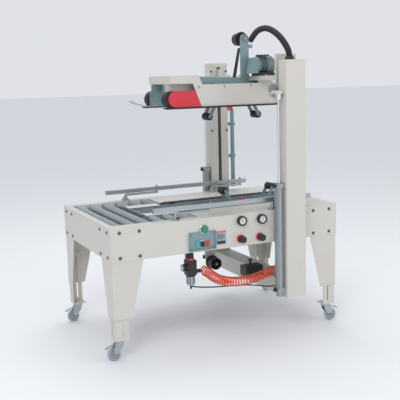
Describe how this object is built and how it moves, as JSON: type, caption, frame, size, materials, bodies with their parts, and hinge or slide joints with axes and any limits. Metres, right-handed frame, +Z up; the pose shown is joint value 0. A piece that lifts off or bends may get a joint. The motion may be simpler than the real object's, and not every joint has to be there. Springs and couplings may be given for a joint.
{
  "type": "carton sealer machine",
  "caption": "Free-standing carton sealer: roller bed on casters, drive belts and tape heads below and in a column-guided lifting head.",
  "frame": {"origin": "on the floor under the middle of the bed", "axes": "+X along the conveyor towards the outfeed, +Y from the control side to the back, +Z up"},
  "size_m": [1.535, 1.04, 1.8255],
  "materials": {
    "beige_paint": "fine textured powder coat",
    "grey_paint": "satin paint",
    "red_paint": "gloss paint",
    "zinc": "zinc plated",
    "chrome": "ground and chromed",
    "black_rubber": "matt",
    "black_plastic": "fine grained",
    "grey_plastic": "smooth",
    "red_plastic": "smooth",
    "green_plastic": "smooth",
    "orange_hose": "smooth polyurethane",
    "blue_hose": "smooth polyurethane"
  },
  "bodies": {
    "machine_frame": {"bed_panels": "beige_paint", "top_sheets": "beige_paint", "leg_covers": "beige_paint", "column_frame": "beige_paint", "lift_cylinders": "grey_paint", "lower_belt_unit": "zinc", "lower_belts": "black_rubber", "lower_motor": "grey_paint", "control_panel": "grey_paint", "air_units": "black_plastic", "guide_bases": "zinc", "conduit": "black_plastic", "coil_hose": "orange_hose", "air_tube": "blue_hose"},
    "head": {"head_covers": "beige_paint", "head_mast": "grey_paint", "upper_belt_unit": "beige_paint", "belt_guards": "red_paint", "upper_belts": "black_rubber", "head_motor": "grey_paint", "head_carriages": "beige_paint", "slide_rails": "black_plastic"},
    "inner_legs": {"inner_legs": "beige_paint"},
    "fork_infeed_front": {"caster_fork_infeed_front": "zinc"},
    "wheel_infeed_front": {"caster_wheel_infeed_front": "grey_plastic"},
    "fork_infeed_rear": {"caster_fork_infeed_rear": "zinc"},
    "wheel_infeed_rear": {"caster_wheel_infeed_rear": "grey_plastic"},
    "fork_outfeed_front": {"caster_fork_outfeed_front": "zinc"},
    "wheel_outfeed_front": {"caster_wheel_outfeed_front": "grey_plastic"},
    "fork_outfeed_rear": {"caster_fork_outfeed_rear": "zinc"},
    "wheel_outfeed_rear": {"caster_wheel_outfeed_rear": "grey_plastic"},
    "roller_1": {"roller_1": "zinc"},
    "roller_2": {"roller_2": "zinc"},
    "roller_3": {"roller_3": "zinc"},
    "roller_pair_4": {"roller_pair_4": "zinc"},
    "roller_pair_5": {"roller_pair_5": "zinc"},
    "roller_pair_6": {"roller_pair_6": "zinc"},
    "front_arm_infeed": {"front_guide_arm_infeed": "zinc"},
    "front_arm_outfeed": {"front_guide_arm_outfeed": "zinc"},
    "front_rail": {"front_guide_rail": "zinc"},
    "rear_arm_infeed": {"rear_guide_arm_infeed": "zinc"},
    "rear_arm_outfeed": {"rear_guide_arm_outfeed": "zinc"},
    "rear_rail": {"rear_guide_rail": "zinc"},
    "upper_front_arm": {"upper_front_tape_arm": "grey_paint"},
    "upper_front_roller": {"upper_front_tape_roller": "black_rubber"},
    "upper_rear_arm": {"upper_rear_tape_arm": "grey_paint"},
    "upper_rear_roller": {"upper_rear_tape_roller": "black_rubber"},
    "lower_front_arm": {"lower_front_tape_arm": "grey_paint"},
    "lower_front_roller": {"lower_front_tape_roller": "black_rubber"},
    "lower_rear_arm": {"lower_rear_tape_arm": "grey_paint"},
    "lower_rear_roller": {"lower_rear_tape_roller": "black_rubber"},
    "upper_tape_hub": {"upper_tape_hub": "black_plastic"},
    "lower_tape_hub": {"lower_tape_hub": "black_plastic"},
    "upper_drive_shaft": {"upper_drive_shaft": "chrome"},
    "lower_drive_shaft": {"lower_drive_shaft": "chrome"},
    "start_button": {"start_button": "green_plastic"},
    "black_rocker": {"black_rocker": "black_plastic"},
    "red_rocker": {"red_rocker": "red_plastic"},
    "lift_pressure_knob": {"lift_pressure_knob": "black_plastic"},
    "press_pressure_knob": {"press_pressure_knob": "black_plastic"}
  },
  "joints": [
    {"name": "head_lift", "type": "slide", "parent": "machine_frame", "child": "head", "axis": [0, 0, 1], "range_m": [-0.475, 0], "deforming": ["conduit"]},
    {"name": "leg_height", "type": "slide", "parent": "machine_frame", "child": "inner_legs", "axis": [0, 0, -1], "range_m": [-0.1, 0.1]},
    {"name": "swivel_infeed_front", "type": "hinge", "parent": "inner_legs", "child": "fork_infeed_front", "pos_m": [-0.6795, -0.394, 0.1], "axis": [0, 0, 1], "continuous": true},
    {"name": "roll_infeed_front", "type": "hinge", "parent": "fork_infeed_front", "child": "wheel_infeed_front", "pos_m": [-0.7175, -0.394, 0.0375], "axis": [0, 1, 0], "continuous": true},
    {"name": "swivel_infeed_rear", "type": "hinge", "parent": "inner_legs", "child": "fork_infeed_rear", "pos_m": [-0.6795, 0.394, 0.1], "axis": [0, 0, 1], "continuous": true},
    {"name": "roll_infeed_rear", "type": "hinge", "parent": "fork_infeed_rear", "child": "wheel_infeed_rear", "pos_m": [-0.7175, 0.394, 0.0375], "axis": [0, 1, 0], "continuous": true},
    {"name": "swivel_outfeed_front", "type": "hinge", "parent": "inner_legs", "child": "fork_outfeed_front", "pos_m": [0.6795, -0.394, 0.1], "axis": [0, 0, 1], "continuous": true},
    {"name": "roll_outfeed_front", "type": "hinge", "parent": "fork_outfeed_front", "child": "wheel_outfeed_front", "pos_m": [0.7175, -0.394, 0.0375], "axis": [0, 1, 0], "continuous": true},
    {"name": "swivel_outfeed_rear", "type": "hinge", "parent": "inner_legs", "child": "fork_outfeed_rear", "pos_m": [0.6795, 0.394, 0.1], "axis": [0, 0, 1], "continuous": true},
    {"name": "roll_outfeed_rear", "type": "hinge", "parent": "fork_outfeed_rear", "child": "wheel_outfeed_rear", "pos_m": [0.7175, 0.394, 0.0375], "axis": [0, 1, 0], "continuous": true},
    {"name": "roller_1_spin", "type": "hinge", "parent": "machine_frame", "child": "roller_1", "pos_m": [-0.6535, 0, 0.726], "axis": [0, 1, 0], "continuous": true},
    {"name": "roller_2_spin", "type": "hinge", "parent": "machine_frame", "child": "roller_2", "pos_m": [-0.5651, 0, 0.726], "axis": [0, 1, 0], "continuous": true},
    {"name": "roller_3_spin", "type": "hinge", "parent": "machine_frame", "child": "roller_3", "pos_m": [-0.4767, 0, 0.726], "axis": [0, 1, 0], "continuous": true},
    {"name": "roller_pair_4_spin", "type": "hinge", "parent": "machine_frame", "child": "roller_pair_4", "pos_m": [-0.3883, 0, 0.726], "axis": [0, 1, 0], "continuous": true},
    {"name": "roller_pair_5_spin", "type": "hinge", "parent": "machine_frame", "child": "roller_pair_5", "pos_m": [-0.2999, 0, 0.726], "axis": [0, 1, 0], "continuous": true},
    {"name": "roller_pair_6_spin", "type": "hinge", "parent": "machine_frame", "child": "roller_pair_6", "pos_m": [-0.2115, 0, 0.726], "axis": [0, 1, 0], "continuous": true},
    {"name": "front_guide_infeed", "type": "hinge", "parent": "machine_frame", "child": "front_arm_infeed", "pos_m": [-0.3275, -0.402, 0.76], "axis": [0, 0, 1], "range_deg": [0, 85]},
    {"name": "front_guide_outfeed", "type": "hinge", "parent": "machine_frame", "child": "front_arm_outfeed", "pos_m": [0.3005, -0.402, 0.76], "axis": [0, 0, 1], "range_deg": [0, 85]},
    {"name": "front_rail_pivot", "type": "hinge", "parent": "front_arm_infeed", "child": "front_rail", "pos_m": [-0.1075, -0.402, 0.81], "axis": [0, 0, 1], "range_deg": [-85, 0]},
    {"name": "rear_guide_infeed", "type": "hinge", "parent": "machine_frame", "child": "rear_arm_infeed", "pos_m": [-0.3275, 0.402, 0.76], "axis": [0, 0, -1], "range_deg": [0, 85]},
    {"name": "rear_guide_outfeed", "type": "hinge", "parent": "machine_frame", "child": "rear_arm_outfeed", "pos_m": [0.3005, 0.402, 0.76], "axis": [0, 0, -1], "range_deg": [0, 85]},
    {"name": "rear_rail_pivot", "type": "hinge", "parent": "rear_arm_infeed", "child": "rear_rail", "pos_m": [-0.1075, 0.402, 0.81], "axis": [0, 0, -1], "range_deg": [-85, 0]},
    {"name": "upper_front_swing", "type": "hinge", "parent": "head", "child": "upper_front_arm", "pos_m": [0.1425, 0, 1.402], "axis": [0, 1, 0], "range_deg": [0, 46], "stiffness_Nm_per_rad": 3, "springref_deg": -28.65},
    {"name": "upper_front_roller_spin", "type": "hinge", "parent": "upper_front_arm", "child": "upper_front_roller", "pos_m": [0.0815, 0, 1.29], "axis": [0, 1, 0], "continuous": true},
    {"name": "upper_rear_swing", "type": "hinge", "parent": "head", "child": "upper_rear_arm", "pos_m": [0.3625, 0, 1.402], "axis": [0, -1, 0], "range_deg": [0, 46], "stiffness_Nm_per_rad": 3, "springref_deg": -28.65},
    {"name": "upper_rear_roller_spin", "type": "hinge", "parent": "upper_rear_arm", "child": "upper_rear_roller", "pos_m": [0.4235, 0, 1.29], "axis": [0, 1, 0], "continuous": true},
    {"name": "lower_front_swing", "type": "hinge", "parent": "machine_frame", "child": "lower_front_arm", "pos_m": [0.2405, 0, 0.709], "axis": [0, -1, 0], "range_deg": [0, 46], "stiffness_Nm_per_rad": 3, "springref_deg": -28.65},
    {"name": "lower_front_roller_spin", "type": "hinge", "parent": "lower_front_arm", "child": "lower_front_roller", "pos_m": [0.1795, 0, 0.821], "axis": [0, 1, 0], "continuous": true},
    {"name": "lower_rear_swing", "type": "hinge", "parent": "machine_frame", "child": "lower_rear_arm", "pos_m": [0.4615, 0, 0.709], "axis": [0, 1, 0], "range_deg": [0, 46], "stiffness_Nm_per_rad": 3, "springref_deg": -28.65},
    {"name": "lower_rear_roller_spin", "type": "hinge", "parent": "lower_rear_arm", "child": "lower_rear_roller", "pos_m": [0.5225, 0, 0.821], "axis": [0, 1, 0], "continuous": true},
    {"name": "upper_hub_spin", "type": "hinge", "parent": "head", "child": "upper_tape_hub", "pos_m": [0.3125, 0, 1.754], "axis": [0, 1, 0], "continuous": true},
    {"name": "lower_hub_spin", "type": "hinge", "parent": "machine_frame", "child": "lower_tape_hub", "pos_m": [0.1075, 0, 0.36], "axis": [0, 1, 0], "continuous": true},
    {"name": "upper_drive_spin", "type": "hinge", "parent": "head", "child": "upper_drive_shaft", "pos_m": [0.5525, 0, 1.403], "axis": [0, 1, 0], "continuous": true},
    {"name": "lower_drive_spin", "type": "hinge", "parent": "machine_frame", "child": "lower_drive_shaft", "pos_m": [0.6425, 0, 0.705], "axis": [0, 1, 0], "continuous": true},
    {"name": "start_press", "type": "slide", "parent": "machine_frame", "child": "start_button", "axis": [0, 1, 0], "range_m": [0, 0.0035], "stiffness_N_per_m": 500, "springref_m": -0.003},
    {"name": "black_rocker_tilt", "type": "hinge", "parent": "machine_frame", "child": "black_rocker", "pos_m": [-0.1865, -0.448, 0.607], "axis": [1, 0, 0], "range_deg": [0, 12]},
    {"name": "red_rocker_tilt", "type": "hinge", "parent": "machine_frame", "child": "red_rocker", "pos_m": [-0.1555, -0.448, 0.607], "axis": [1, 0, 0], "range_deg": [0, 12]},
    {"name": "lift_pressure_knob_turn", "type": "hinge", "parent": "machine_frame", "child": "lift_pressure_knob", "pos_m": [0.0595, -0.46, 0.606], "axis": [0, 1, 0], "range_deg": [0, 300]},
    {"name": "press_pressure_knob_turn", "type": "hinge", "parent": "machine_frame", "child": "press_pressure_knob", "pos_m": [0.1865, -0.46, 0.604], "axis": [0, 1, 0], "range_deg": [0, 300]}
  ],
  "couplings": [
    {"joint": "front_guide_outfeed", "follows": "front_guide_infeed", "ratio": 1},
    {"joint": "front_rail_pivot", "follows": "front_guide_infeed", "ratio": -1},
    {"joint": "rear_guide_outfeed", "follows": "rear_guide_infeed", "ratio": 1},
    {"joint": "rear_rail_pivot", "follows": "rear_guide_infeed", "ratio": -1},
    {"joint": "upper_rear_swing", "follows": "upper_front_swing", "ratio": 1},
    {"joint": "lower_rear_swing", "follows": "lower_front_swing", "ratio": 1}
  ]
}
